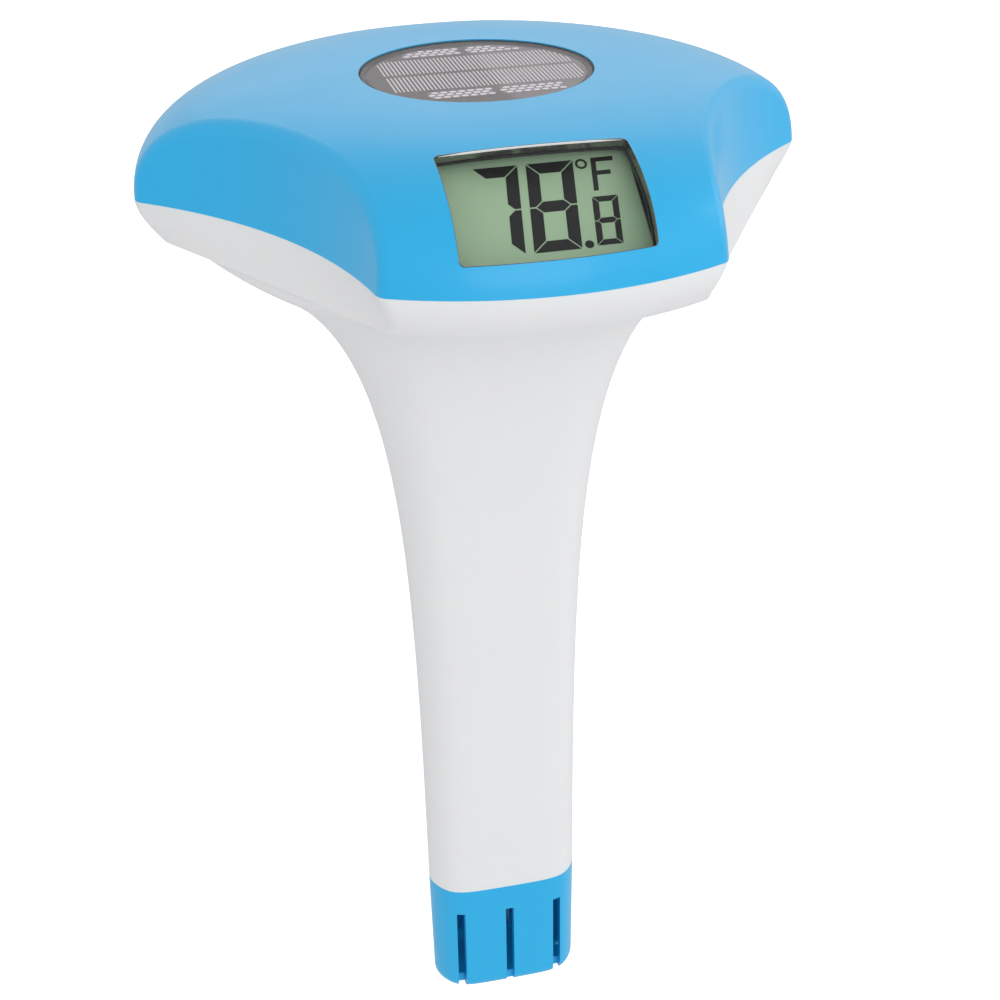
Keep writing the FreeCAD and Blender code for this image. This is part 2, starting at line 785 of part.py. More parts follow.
def screw(head_radius, head_height, shank_radius, shank_length):
    """A pan-head screw: the head's underside is at zero and the shank points up."""
    head = Part.makeCylinder(head_radius, head_height, Vector(0, 0, -head_height))
    rim = [edge for edge in head.Edges if edge.BoundBox.ZMax < -head_height / 2 and edge.Closed]
    head = head.makeFillet(head_height * 0.4, rim)
    cross = [
        Part.makeBox(head_radius, 0.4, 0.5, Vector(-head_radius / 2, -0.2, -head_height)),
        Part.makeBox(0.4, head_radius, 0.5, Vector(-0.2, -head_radius / 2, -head_height)),
    ]
    shank = Part.makeCylinder(shank_radius, shank_length - 0.6)
    tip = Part.makeCone(shank_radius, shank_radius * 0.4, 0.6, Vector(0, 0, shank_length - 0.6))
    return head.cut(cross).fuse([shank, tip]).removeSplitter()


def placed(shape, placement):
    copy = shape.copy()
    copy.Placement = placement
    return copy


board_screw = screw(1.6, 1.1, size("small_screw_radius"), SCREW_TIP - BOARD_BACK)
solid_part(
    "board_screws",
    Part.makeCompound(
        [
            placed(board_screw, DISPLAY_PLACE.multiply(Placement(Vector(x, y, BOARD_BACK), Rotation())))
            for x, y in SCREW_SPOTS
        ]
    ),
)


# ---------------------------------------------------------------- solar unit

window = new_body("solar_window")
window_outline = circle_sketch(window, "XY_Plane", "solar_window_outline", "solar_radius")
disc = pad(window, window_outline, "solar_window_thickness")
doc.recompute()
rim_bevel = window.newObject("PartDesign::Chamfer", "solar_window_bevel")
top_edge = next(
    "Edge%d" % (i + 1)
    for i, edge in enumerate(disc.Shape.Edges)
    if edge.Closed and edge.BoundBox.ZMin > size("solar_window_thickness") / 2
)
rim_bevel.Base = (disc, [top_edge])
rim_bevel.Size = 0.3
bind(window, Base_z="seam_height + solar_top - solar_window_thickness")
keep(window, "solar_window")

keep(
    ring(
        "solar_gasket",
        "solar_radius - 0.1",
        "solar_panel_radius + 0.3",
        "solar_gasket_thickness",
        "seam_height + solar_top - solar_window_thickness - solar_gasket_thickness",
    ),
    "solar_gasket",
)

panel = new_body("solar_panel")
pad(panel, circle_sketch(panel, "XY_Plane", "solar_panel_outline", "solar_panel_radius"), "solar_panel_thickness")
bind(
    panel,
    Base_z="seam_height + solar_top - solar_window_thickness - solar_gasket_thickness + solar_panel_rise"
    " - solar_panel_thickness",
)
keep(panel, "solar_panel")


def solar_leads():
    """Two wires from under the solar panel to the top of the board's back."""
    wires = []
    for side in (-1.2, 1.2):
        end = display_point(side - 4, 10, BOARD_BACK - 0.9)
        points = [
            Vector(side, -5, rising(PANEL_SEAT - 0.2)),
            Vector(side, -7, rising(PANEL_SEAT - 4)),
            Vector(side - 1, -24, rising(14)),
            Vector(end.x, end.y + 5, end.z + 0.5),
            end,
        ]
        wires.append(lead(points, 0.5, 1.5))
    return Part.makeCompound(wires)


solid_part("solar_leads", solar_leads())


# ---------------------------------------------------------------- tray, battery and unit switch

TRAY_LEVEL = "seam_height - tray_drop - tray_thickness"
POST_HEIGHT = "tray_thickness + tray_drop + 15"

tray = new_body("inner_tray")
pad(tray, circle_sketch(tray, "XY_Plane", "tray_outline", "tray_radius"), "tray_thickness", "Plate")
pocket(tray, circle_sketch(tray, "XY_Plane", "cable_way", "5"), "tray_thickness + 1", "Cable_way")
screw_way = pocket(
    tray,
    circle_sketch(tray, "XY_Plane", "screw_way", "1.1", ("0", "-boss_distance")),
    "tray_thickness + 1",
    "Screw_way",
)
turns = tray.newObject("PartDesign::PolarPattern", "Screw_ways")
turns.Originals = [screw_way]
turns.Axis = (next(item for item in tray.Origin.OriginFeatures if item.Role == "Z_Axis"), [""])
turns.Angle = 360.0
turns.Occurrences = 3
tray.Tip = turns
post = pad(tray, outline_sketch(tray, "XY_Plane", "post", rectangle("4", "42.4", "8", "44.8")), POST_HEIGHT, "Post")
mirror = tray.newObject("PartDesign::Mirrored", "Posts")
mirror.Originals = [post]
mirror.MirrorPlane = (plane(tray, "YZ_Plane"), [""])
tray.Tip = mirror
SWITCH_SCREW_LIFT = 13.0
for number, side in enumerate(("-6", "6")):
    lift = "tray_thickness + tray_drop + %g" % SWITCH_SCREW_LIFT
    hole = circle_sketch(tray, "XZ_Plane", "post_hole_%d" % number, "0.7", (side, lift))
    pocket(tray, hole, "tray_radius", "Post_hole_%d" % number, False)
bind(tray, Base_z=TRAY_LEVEL)
keep(tray, "inner_tray")

tray_screw = screw(2.8, 1.6, 0.9, 9.0)
solid_part(
    "tray_screws",
    Part.makeCompound(
        [
            placed(
                tray_screw,
                Placement(
                    polar(size("boss_distance"), turn, rising(-size("tray_drop"))),
                    Rotation(Vector(1, 0, 0), 180),
                ),
            )
            for turn in LOBES
        ]
    ),
)

TRAY_TOP = "seam_height - tray_drop"
cup_profile = [
    ("0", "0"),
    ("cell_radius + 2", "0"),
    ("cell_radius + 2", "cell_thickness + 1.6"),
    ("cell_radius + 0.15", "cell_thickness + 1.6"),
    ("cell_radius + 0.15", "1"),
    ("0", "1"),
]
keep(turned("battery_holder", cup_profile, Base_y="battery_back", Base_z=TRAY_TOP), "battery_holder")
cell_profile = [
    ("0", "0"),
    ("cell_radius - 0.9", "0"),
    ("cell_radius - 0.9", "0.3"),
    ("cell_radius - 0.4", "0.3"),
    ("cell_radius", "0.8"),
    ("cell_radius", "cell_thickness - 0.2"),
    ("cell_radius - 0.2", "cell_thickness"),
    ("0", "cell_thickness"),
]
keep(turned("battery_cell", cell_profile, Base_y="battery_back", Base_z=TRAY_TOP + " + 1.3"), "battery_cell")


def battery_contacts():
    """A round plate under the cell and a strip over it that turns down outside the holder."""
    floor = rising(-size("tray_drop")) + 1.0
    over = floor + 0.3 + size("cell_thickness")
    back = size("battery_back")
    reach = size("cell_radius") + 2.0
    plate = cylinder(8.0, 0.3, Vector(0, back, floor))
    strip = Part.makeBox(6, reach + 8.5, 0.3, Vector(-3, back - reach - 0.5, over + 0.32))
    tail = Part.makeBox(6, 0.3, 4.0, Vector(-3, back - reach - 0.5, over - 3.4))
    return Part.makeCompound([plate, strip.fuse(tail).removeSplitter()])


solid_part("battery_contacts", battery_contacts())


def battery_leads():
    """Two wires from the battery contacts to the lower back of the board."""
    wires = []
    for side in (0.0, 2.4):
        end = display_point(-14 - side, -5, BOARD_BACK - 0.9)
        points = [
            Vector(-5 - side, -1.5, rising(-0.8)),
            Vector(-7 - side, -8, rising(-0.2)),
            Vector(-11 - side, -26, rising(-0.4)),
            Vector(end.x, end.y + 9, rising(-1.0)),
            end,
        ]
        wires.append(lead(points, 0.5, 1.5))
    return Part.makeCompound(wires)


solid_part("battery_leads", battery_leads())

INTO_WALL = Rotation(Vector(1, 0, 0), -90)
BUTTON_SPOT = Vector(0, 50.0, rising(size("button_lift")))
button_profile = [
    ("0", "0"),
    ("7", "0"),
    ("7", "1.2"),
    ("button_radius", "1.2"),
    ("button_radius", "2.7"),
    ("button_radius - 0.6", "2.7"),
    ("button_radius - 0.6", "3.7"),
    ("button_radius", "3.7"),
    ("button_radius", "5.4"),
    ("button_radius - 0.7", "6"),
    ("0", "6"),
]
keep(turned("unit_button", button_profile, Placement(BUTTON_SPOT, INTO_WALL)), "unit_button")

seal = primitive("Torus", "button_seal", Radius1="button_radius - 0.27", Radius2="0.32")
seal.Placement = Placement(BUTTON_SPOT + Vector(0, 3.2, 0), INTO_WALL)
keep(seal, "button_seal")

SWITCH_FACE = BUTTON_SPOT.y - 1.2
stem = primitive("Cylinder", "switch_plunger", Radius="1.7")
stem.Height = BUTTON_SPOT.y - SWITCH_FACE + 1.2
stem.Placement = Placement(Vector(0, SWITCH_FACE - 1.2, BUTTON_SPOT.z), INTO_WALL)
keep(stem, "switch_plunger")


def switch_body():
    """The square key switch, bored for its plunger and the plunger's travel."""
    block = Part.makeBox(6, 3, 6, Vector(-3, SWITCH_FACE - 3, BUTTON_SPOT.z - 3))
    return block.cut(cylinder(1.76, 3, Vector(0, SWITCH_FACE - 1.9, BUTTON_SPOT.z), Vector(0, 1, 0)))


def switch_board():
    """The small upright board that holds the key switch against the tray's posts."""
    plate = Part.makeBox(18, 1, 16, Vector(-9, SWITCH_FACE - 4, rising(0)))
    holes = [
        cylinder(0.9, 3, Vector(x, SWITCH_FACE - 5, rising(SWITCH_SCREW_LIFT)), Vector(0, 1, 0)) for x in (-6, 6)
    ]
    return plate.cut(holes)


solid_part("switch_body", switch_body())
solid_part("switch_board", switch_board())
switch_screw = screw(1.5, 0.9, 0.7, 3.2)
solid_part(
    "switch_screws",
    Part.makeCompound(
        [
            placed(
                switch_screw,
                Placement(Vector(x, SWITCH_FACE - 3, rising(SWITCH_SCREW_LIFT)), Rotation(Vector(1, 0, 0), 90)),
            )
            for x in (-6, 6)
        ]
    ),
)


def switch_leads():
    """Two wires from the switch board past the battery to the main board."""
    wires = []
    for lift in (0.0, 2.4):
        end = display_point(-15, 2 + lift, BOARD_BACK - 0.9)
        points = [
            Vector(-1.5, 43.9, rising(4 + lift)),
            Vector(-4, 38, rising(5 + lift)),
            Vector(-20, 26, rising(5 + lift)),
            Vector(-24, 4, rising(6 + lift)),
            Vector(-19, -24, rising(7 + lift)),
            end,
        ]
        wires.append(lead(points, 0.5, 1.5))
    return Part.makeCompound(wires)


solid_part("switch_leads", switch_leads())


# ---------------------------------------------------------------- probe, cable and ballast

FLOOR_LOW = "stem_foot - spigot_length"
grommet_profile = [
    ("probe_radius", "-1.2"),
    ("6.5", "-1.2"),
    ("6.5", "0"),
    ("4.5", "0"),
    ("4.5", "floor_thickness"),
    ("6.5", "floor_thickness"),
    ("6.5", "floor_thickness + 1.2"),
    ("probe_radius", "floor_thickness + 1.2"),
]
keep(turned("probe_grommet", grommet_profile, Base_z=FLOOR_LOW), "probe_grommet")
sleeve_profile = [
    ("0", "probe_bottom"),
    ("probe_radius - 0.8", "probe_bottom"),
    ("probe_radius", "probe_bottom + 0.8"),
    ("probe_radius", "stem_foot - spigot_length + floor_thickness + 1.25"),
    ("probe_radius + 1.4", "stem_foot - spigot_length + floor_thickness + 1.25"),
    ("probe_radius + 1.4", "probe_top"),
    ("probe_radius - 0.4", "probe_top"),
    ("probe_radius - 0.4", "probe_bottom + 1"),
    ("0", "probe_bottom + 0.6"),
]
keep(turned("probe_sleeve", sleeve_profile), "probe_sleeve")

BEAD_LEVEL = size("probe_bottom") + 3.5


def thermistor(slack):
    """The sensing bead and its two stiff leads; slack thickens it to make its own cavity."""
    bead = Part.makeSphere(1.2 + slack, Vector(0, 0, BEAD_LEVEL))
    legs = [cylinder(0.3 + slack, 9.4 + slack, Vector(x, 0, BEAD_LEVEL)) for x in (-0.6, 0.6)]
    return bead.fuse(legs)


solid_part("thermistor", thermistor(0))
filling = cylinder(size("probe_radius") - 0.45, 11.2, Vector(0, 0, size("probe_bottom") + 1.05))
solid_part("probe_filling", filling.cut(thermistor(0.03)))

CABLE_START = BEAD_LEVEL + 9.6
PLUG_EXIT = display_point(8, 0.6 + size("cable_radius"), BOARD_BACK - 4.4)


def sensor_cable():
    """The probe's cable, straight up the stem, through the tray and over to the board's plug."""
    points = [
        Vector(0, 0, CABLE_START),
        Vector(0, 0, rising(-17)),
        Vector(0, -3, rising(-9)),
        Vector(0, -3, rising(1)),
        Vector(6, -28, rising(9.5)),
        Vector(8, PLUG_EXIT.y + 5, PLUG_EXIT.z + 3.4),
        PLUG_EXIT,
    ]
    return lead(points, size("cable_radius"), 4)


solid_part("sensor_cable", sensor_cable())

ballast_profile = [
    ("4", "0"),
    ("ballast_radius - 1", "0"),
    ("ballast_radius", "1"),
    ("ballast_radius", "ballast_height - 1"),
    ("ballast_radius - 1", "ballast_height"),
    ("4", "ballast_height"),
]
keep(turned("counterweight", ballast_profile, Base_z="stem_foot + 1.6"), "counterweight")


def weight_retainer():
    """The plate that clips over the weight, shaped to the inside of the stem."""
    level = size("stem_foot") + 1.7 + size("ballast_height")
    plate = Part.Face(bell_section(level, BELL_TOP - level, size("stem_wall") + 0.4)).extrude(Vector(0, 0, 2.5))
    return plate.cut(cylinder(4.0, 6, Vector(0, 0, level - 1)))


solid_part("weight_retainer", weight_retainer())


# ---------------------------------------------------------------- checks and export

doc.recompute()
for thing in doc.Objects:
    if "Invalid" in thing.State or "Error" in thing.State:
        raise RuntimeError("%s did not compute: %s" % (thing.Label, thing.State))
os.makedirs("parts", exist_ok=True)
for part in subparts:
    if part.Shape.isNull() or not part.Shape.isValid() or not part.Shape.Solids:
        raise RuntimeError("%s has no valid solid" % part.Label)
for part in subparts:
    part.Shape.exportStep(os.path.join("parts", part.Label + ".step"))
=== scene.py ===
"""Looks of the floating pool thermometer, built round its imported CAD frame.

Everything is in metres in the CAD frame: +Z up the stem, the display towards -Y.
"""
import math

import bmesh
import bpy
from mathutils import Matrix, Vector
from mathutils.bvhtree import BVHTree


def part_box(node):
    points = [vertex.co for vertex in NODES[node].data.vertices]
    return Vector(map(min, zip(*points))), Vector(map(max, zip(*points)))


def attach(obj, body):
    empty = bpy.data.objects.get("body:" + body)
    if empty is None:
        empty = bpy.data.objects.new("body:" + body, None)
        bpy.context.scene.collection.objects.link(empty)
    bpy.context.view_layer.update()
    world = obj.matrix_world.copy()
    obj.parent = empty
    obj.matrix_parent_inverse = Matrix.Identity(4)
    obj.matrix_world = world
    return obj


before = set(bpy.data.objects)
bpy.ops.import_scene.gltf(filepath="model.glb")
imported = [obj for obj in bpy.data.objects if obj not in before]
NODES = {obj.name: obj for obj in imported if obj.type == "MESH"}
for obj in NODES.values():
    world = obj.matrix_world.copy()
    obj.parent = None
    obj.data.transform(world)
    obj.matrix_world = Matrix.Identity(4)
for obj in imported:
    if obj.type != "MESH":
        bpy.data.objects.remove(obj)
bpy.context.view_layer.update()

MM = 0.001
COVER_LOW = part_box("top_cover")[0]
HEAD_RADIUS = -COVER_LOW.y
SEAM = COVER_LOW.z
PANEL_LOW, PANEL_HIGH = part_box("solar_panel")
PANEL_TOP = PANEL_HIGH.z
PANEL_RADIUS = PANEL_HIGH.x
SOLAR_WINDOW_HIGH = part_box("solar_window")[1]
SOLAR_GASKET_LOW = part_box("solar_gasket")[0]

scene = bpy.context.scene
scene.view_settings.view_transform = "Standard"


# ---------------------------------------------------------------- shader helpers

def linear(red, green, blue):
    """An 8-bit screen colour as the linear colour that a shader takes, by the standard sRGB curve."""
    channels = []
    for value in (red, green, blue):
        share = value / 255
        channels.append(share / 12.92 if share <= 0.04045 else ((share + 0.055) / 1.055) ** 2.4)
    return (*channels, 1.0)


def toned(colour, factor, lift=0.0):
    """A colour made darker or paler."""
    return tuple(min(channel * factor + lift, 1.0) for channel in colour[:3]) + (1.0,)


class Shader:
    """A material's node tree with a Principled surface and short ways to add to it."""

    def __init__(self, name):
        self.material = bpy.data.materials.new(name)
        self.material.use_nodes = True
        self.tree = self.material.node_tree
        self.surface = self.tree.nodes["Principled BSDF"]
        self.output = self.tree.nodes["Material Output"]

    def add(self, kind, **values):
        """A node; values that name an attribute set it, and the others set inputs."""
        node = self.tree.nodes.new("ShaderNode" + kind)
        for name, value in values.items():
            if hasattr(node, name):
                setattr(node, name, value)
            else:
                node.inputs[name.replace("_", " ")].default_value = value
        return node

    def join(self, source, target):
        self.tree.links.new(source, target)

    def set(self, **values):
        """Plain values for the surface's inputs."""
        for name, value in values.items():
            self.surface.inputs[name.replace("_", " ")].default_value = value

    def colour(self, source):
        self.join(source, self.surface.inputs["Base Color"])

    def roughness(self, source):
        self.join(source, self.surface.inputs["Roughness"])

    def place(self):
        """A point's place in its piece's own frame, in metres."""
        return self.add("TexCoord").outputs["Object"]

    def noise(self, scale, detail=3.0, rough=0.5):
        """Noise with the given number of patches to a metre."""
        node = self.add("TexNoise", Scale=scale, Detail=detail, Roughness=rough)
        self.join(self.place(), node.inputs["Vector"])
        return node.outputs["Fac"]

    def streaks(self, scales, detail):
        """Noise with its own scale along x, y and z, so that it is drawn out where the scale is small."""
        noise = self.add("TexNoise", Scale=1.0, Detail=detail)
        mapping = self.add("Mapping", Scale=scales)
        self.join(self.place(), mapping.inputs["Vector"])
        self.join(mapping.outputs["Vector"], noise.inputs["Vector"])
        return noise.outputs["Fac"]

    def span(self, source, low, high):
        """The source, which runs from 0 to 1, stretched to run from low to high."""
        node = self.add("MapRange", To_Min=low, To_Max=high)
        self.join(source, node.inputs["Value"])
        return node.outputs["Result"]

    def mix(self, share, first, second):
        """A colour mixed between two, where each of the three may be a socket or a value."""
        node = self.add("Mix", data_type="RGBA")
        targets = (node.inputs[0], node.inputs[6], node.inputs[7])
        for source, target in zip((share, first, second), targets):
            if isinstance(source, bpy.types.NodeSocket):
                self.join(source, target)
            else:
                target.default_value = source
        return node.outputs[2]

    def bump(self, height, strength, depth):
        """Fine relief on the surface, with its depth in metres."""
        node = self.add("Bump", Strength=strength, Distance=depth)
        self.join(height, node.inputs["Height"])
        self.join(node.outputs["Normal"], self.surface.inputs["Normal"])


# ---------------------------------------------------------------- materials

def moulded_plastic(name, colour, rough, grain=0.05, **extra):
    """Satin moulded plastic: cloudy tone, faint flow marks, uneven polish and a fine skin texture."""
    s = Shader(name)
    cloudy = s.mix(s.span(s.noise(scale=22, detail=2), 0.0, 0.35), colour, toned(colour, 0.93))
    flow = s.span(s.noise(scale=7, detail=5, rough=0.7), 0.0, 0.5)
    s.colour(s.mix(flow, cloudy, toned(colour, 1.04)))
    s.roughness(s.span(s.noise(scale=60, detail=4), rough - 0.04, rough + 0.05))
    s.bump(s.noise(scale=2600, detail=2), strength=grain, depth=0.04 * MM)
    s.set(IOR=1.5, Coat_Weight=0.25, Coat_Roughness=0.12, **extra)
    return s.material


def soft_rubber(name, colour):
    """Matt rubber with dust in its pores."""
    s = Shader(name)
    dust = s.span(s.noise(scale=300, detail=5), 0.0, 0.5)
    s.colour(s.mix(dust, colour, toned(colour, 1.6, lift=0.01)))
    s.roughness(s.span(s.noise(scale=150), 0.62, 0.8))
    s.bump(s.noise(scale=1800), strength=0.2, depth=0.05 * MM)
    s.set(Sheen_Weight=0.15, Sheen_Roughness=0.5)
    return s.material


def clear_cover(name, tint, haze, bend):
    """Thin clear plastic: see-through face on, mirror-like at a shallow angle, with a faint haze.

    Only its outward side mirrors, so what lies under it isn't veiled by reflections inside it.
    """
    s = Shader(name)
    s.tree.nodes.remove(s.surface)
    outside = s.add("Math", operation="SUBTRACT")
    outside.inputs[0].default_value = 1.0
    s.join(s.add("NewGeometry").outputs["Backfacing"], outside.inputs[1])
    mirror = s.add("Math", operation="MULTIPLY")
    s.join(s.add("Fresnel", IOR=bend).outputs["Fac"], mirror.inputs[0])
    s.join(outside.outputs["Value"], mirror.inputs[1])
    ripple = s.add("Bump", Strength=0.05, Distance=0.2 * MM)
    s.join(s.noise(scale=45, detail=2), ripple.inputs["Height"])
    gloss = s.add("BsdfGlossy")
    s.join(s.span(s.noise(scale=90, detail=4), haze * 0.5, haze * 1.5), gloss.inputs["Roughness"])
    s.join(ripple.outputs["Normal"], gloss.inputs["Normal"])
    blend = s.add("MixShader")
    s.join(mirror.outputs["Value"], blend.inputs["Fac"])
    s.join(s.add("BsdfTransparent", Color=tint).outputs["BSDF"], blend.inputs[1])
    s.join(gloss.outputs["BSDF"], blend.inputs[2])
    s.join(blend.outputs["Shader"], s.output.inputs["Surface"])
    return s.material


def display_glass():
    """Reflective display film: grey-green with a fine grain and faint upright lines."""
    s = Shader("display_glass")
    grain = s.span(s.noise(scale=5200, detail=2), 0.0, 1.0)
    base = s.mix(grain, linear(172, 200, 164), linear(180, 208, 172))
    lines = s.add("TexWave", Scale=900.0, Distortion=0.4)
    s.join(s.place(), lines.inputs["Vector"])
    s.colour(s.mix(s.span(lines.outputs["Fac"], 0.0, 0.12), base, linear(150, 178, 142)))
    s.roughness(s.span(s.noise(scale=200), 0.3, 0.42))
    s.bump(s.noise(scale=3000, detail=2), strength=0.04, depth=0.03 * MM)
    return s.material


def printed(name, first, second, patches, polish_patches, rough):
    """A printed layer that wavers between two tones and between two values of roughness."""
    s = Shader(name)
    s.colour(s.mix(s.noise(scale=patches), first, second))
    s.roughness(s.span(s.noise(scale=polish_patches, detail=2), *rough))
    return s.material


# Painted reflection on the solar cell: where it begins on the +X side, how soft its edge is, and how far it
# pales the cell.
CELL_SPLIT = 3.0 * MM
CELL_SPLIT_BLUR = 1.0 * MM
PAINTED_REFLECTION_SHARE = 0.34


def solar_film():
    """The dark warm-grey face of the solar cell, streaked front to back, with a painted reflection that
    pales its +X side.
    """
    s = Shader("solar_film")
    streak = s.streaks((900.0, 60.0, 60.0), detail=4.0)
    dark = s.mix(streak, linear(58, 54, 52), linear(84, 78, 75))
    across = s.add("SeparateXYZ")
    s.join(s.place(), across.inputs["Vector"])
    half = s.add("MapRange", To_Max=PAINTED_REFLECTION_SHARE)
    half.inputs["From Min"].default_value = CELL_SPLIT - CELL_SPLIT_BLUR
    half.inputs["From Max"].default_value = CELL_SPLIT + CELL_SPLIT_BLUR
    s.join(across.outputs["X"], half.inputs["Value"])
    # Painted reflection: the +X side of the cell is blended towards a pale grey.
    s.colour(s.mix(half.outputs["Result"], dark, linear(176, 170, 170)))
    s.roughness(s.span(s.noise(scale=120), 0.25, 0.4))
    s.bump(streak, strength=0.08, depth=0.04 * MM)
    s.set(Metallic=0.2)
    return s.material


def metal(name, tone, rough, scales=(40.0, 40.0, 900.0)):
    """Metal with fine lines, or an even grain where the scales are equal, and patches of duller surface."""
    s = Shader(name)
    colour = (*tone, 1.0)
    line = s.streaks(scales, detail=5.0)
    s.colour(s.mix(s.noise(scale=180, detail=4), colour, toned(colour, 0.8)))
    s.roughness(s.span(line, rough - 0.08, rough + 0.12))
    s.bump(line, strength=0.12, depth=0.03 * MM)
    s.set(Metallic=1.0)
    return s.material


def circuit_board():
    """Green solder mask with a faint pattern of copper under it."""
    s = Shader("circuit_board")
    tracks = s.add(
        "TexBrick",
        Scale=260.0,
        Mortar_Size=0.03,
        Color1=linear(16, 92, 44),
        Color2=linear(20, 104, 52),
        Mortar=linear(44, 136, 74),
    )
    s.join(s.place(), tracks.inputs["Vector"])
    s.colour(tracks.outputs["Color"])
    s.bump(tracks.outputs["Fac"], strength=0.3, depth=0.04 * MM)
    s.set(Roughness=0.35, Coat_Weight=0.5)
    return s.material


BLUE = moulded_plastic(
    "blue_plastic", linear(18, 182, 240), rough=0.34, Subsurface_Weight=0.06, Subsurface_Scale=2 * MM
)
WHITE = moulded_plastic(
    "white_plastic", linear(240, 241, 242), rough=0.36, Subsurface_Weight=0.12, Subsurface_Scale=3 * MM
)
DARK = moulded_plastic("dark_plastic", linear(40, 40, 43), rough=0.45, grain=0.12)
GREY = moulded_plastic("grey_plastic", linear(128, 132, 136), rough=0.5, grain=0.1)
IVORY = moulded_plastic("ivory_plastic", linear(226, 220, 200), rough=0.5, grain=0.08)
CERAMIC = moulded_plastic("ceramic", linear(176, 140, 98), rough=0.5)
BLACK_RUBBER = soft_rubber("black_rubber", linear(34, 34, 36))
KEY_RUBBER = soft_rubber("key_rubber", linear(70, 76, 84))
CABLE_RUBBER = soft_rubber("cable_rubber", linear(26, 26, 28))
LEAD_RUBBER = soft_rubber("lead_rubber", linear(170, 34, 26))
ZEBRA_RUBBER = soft_rubber("zebra_rubber", linear(150, 146, 158))
# Painted shade: the dark rubber that fills the shadowed gaps round the solar window and the cell.
GAP_SHADE = soft_rubber("painted_gap_shade", linear(70, 68, 68))
GASKET_GREY = soft_rubber("gasket_grey", linear(84, 79, 77))
POTTING = soft_rubber("potting", linear(22, 22, 24))
PROBE_POTTING = soft_rubber("probe_potting", linear(40, 38, 36))
BEAD_COAT = soft_rubber("bead_coat", linear(30, 30, 34))
LENS = clear_cover("clear_lens", tint=(0.97, 0.98, 0.98, 1.0), haze=0.03, bend=1.2)
SOLAR_COVER = clear_cover("clear_solar_cover", tint=(0.96, 0.95, 0.96, 1.0), haze=0.05, bend=1.14)
STEEL = metal("steel", (0.62, 0.62, 0.63), rough=0.3)
SPRING = metal("spring_metal", (0.72, 0.70, 0.64), rough=0.25)
REFLECTOR = metal("reflector_film", (0.75, 0.78, 0.75), rough=0.35)
CAST = metal("cast_weight", (0.20, 0.20, 0.21), rough=0.55, scales=(300.0, 300.0, 300.0))
# Black chrome for the window liner; its dark tone is partly painted shade for the recessed walls of the
# window.
SHADED_LINER = metal("black_chrome_and_wall_shade", (0.30, 0.29, 0.28), rough=0.22, scales=(60.0, 60.0, 60.0))
# Painted highlight: near-white polished metal for the bead that stands for the lit top edge of the display
# lens.
PAINTED_EDGE_HIGHLIGHT = metal("painted_highlight_bead", (0.96, 0.97, 0.98), rough=0.16, scales=(80.0, 80.0, 80.0))
BOARD = circuit_board()
INK = printed(
    "display_ink",
    linear(8, 6, 9),
    linear(16, 13, 17),
    patches=900,
    polish_patches=400,
    rough=(0.32, 0.45),
)
SILVER = printed(
    "solar_silver",
    linear(236, 230, 240),
    linear(254, 252, 255),
    patches=2600,
    polish_patches=800,
    rough=(0.35, 0.55),
)
PAD = printed(
    "solar_pad",
    linear(132, 124, 128),
    linear(164, 155, 160),
    patches=700,
    polish_patches=500,
    rough=(0.4, 0.6),
)

FINISHES = {
    "top_cover": BLUE,
    "sensor_guard": BLUE,
    "lower_housing": WHITE,
    "lcd_window": LENS,
    "solar_window": SOLAR_COVER,
    "lcd_panel": display_glass(),
    "lcd_segments": INK,
    "solar_panel": solar_film(),
    "lcd_frame": DARK,
    "weight_retainer": DARK,
    "battery_holder": DARK,
    "switch_body": DARK,
    "housing_seal": BLACK_RUBBER,
    "lcd_gasket": BLACK_RUBBER,
    "solar_gasket": GASKET_GREY,
    "probe_grommet": BLACK_RUBBER,
    "button_seal": BLACK_RUBBER,
    "unit_button": KEY_RUBBER,
    "sensor_cable": CABLE_RUBBER,
    "solar_leads": LEAD_RUBBER,
    "battery_leads": LEAD_RUBBER,
    "switch_leads": LEAD_RUBBER,
    "lcd_reflector": REFLECTOR,
    "zebra_connectors": ZEBRA_RUBBER,
    "main_board": BOARD,
    "switch_board": BOARD,
    "controller_blob": POTTING,
    "probe_filling": PROBE_POTTING,
    "thermistor": BEAD_COAT,
    "quartz_crystal": STEEL,
    "battery_cell": STEEL,
    "board_screws": STEEL,
    "tray_screws": STEEL,
    "switch_screws": STEEL,
    "probe_sleeve": STEEL,
    "battery_contacts": SPRING,
    "counterweight": CAST,
    "board_capacitors": CERAMIC,
    "cable_header": IVORY,
    "cable_plug": IVORY,
    "inner_tray": GREY,
    "switch_plunger": GREY,
}


def shade(node, material):
    """Gives one CAD node its material."""
    thing = NODES[node]
    if not thing.material_slots:
        thing.data.materials.append(material)
    for slot in thing.material_slots:
        slot.material = material


for node_name in NODES:
    shade(node_name, FINISHES[node_name])


# ---------------------------------------------------------------- mesh helpers

def mesh_piece(name, build, material):
    """A new piece on the float's body, with a mesh that the build function fills in."""
    mesh = bpy.data.meshes.new(name)
    shape = bmesh.new()
    build(shape)
    bmesh.ops.recalc_face_normals(shape, faces=shape.faces)
    shape.to_mesh(mesh)
    shape.free()
    mesh.materials.append(material)
    piece = bpy.data.objects.new(name, mesh)
    scene.collection.objects.link(piece)
    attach(piece, "float_body")


def slab(shape, outline, low, high):
    """A closed flat solid over a convex outline of (x, y) points."""
    bottom = [shape.verts.new((x, y, low)) for x, y in outline]
    top = [shape.verts.new((x, y, high)) for x, y in outline]
    shape.faces.new(bottom[::-1])
    shape.faces.new(top)
    count = len(outline)
    for i in range(count):
        j = (i + 1) % count
        shape.faces.new((bottom[i], bottom[j], top[j], top[i]))


RING_STEPS = 128


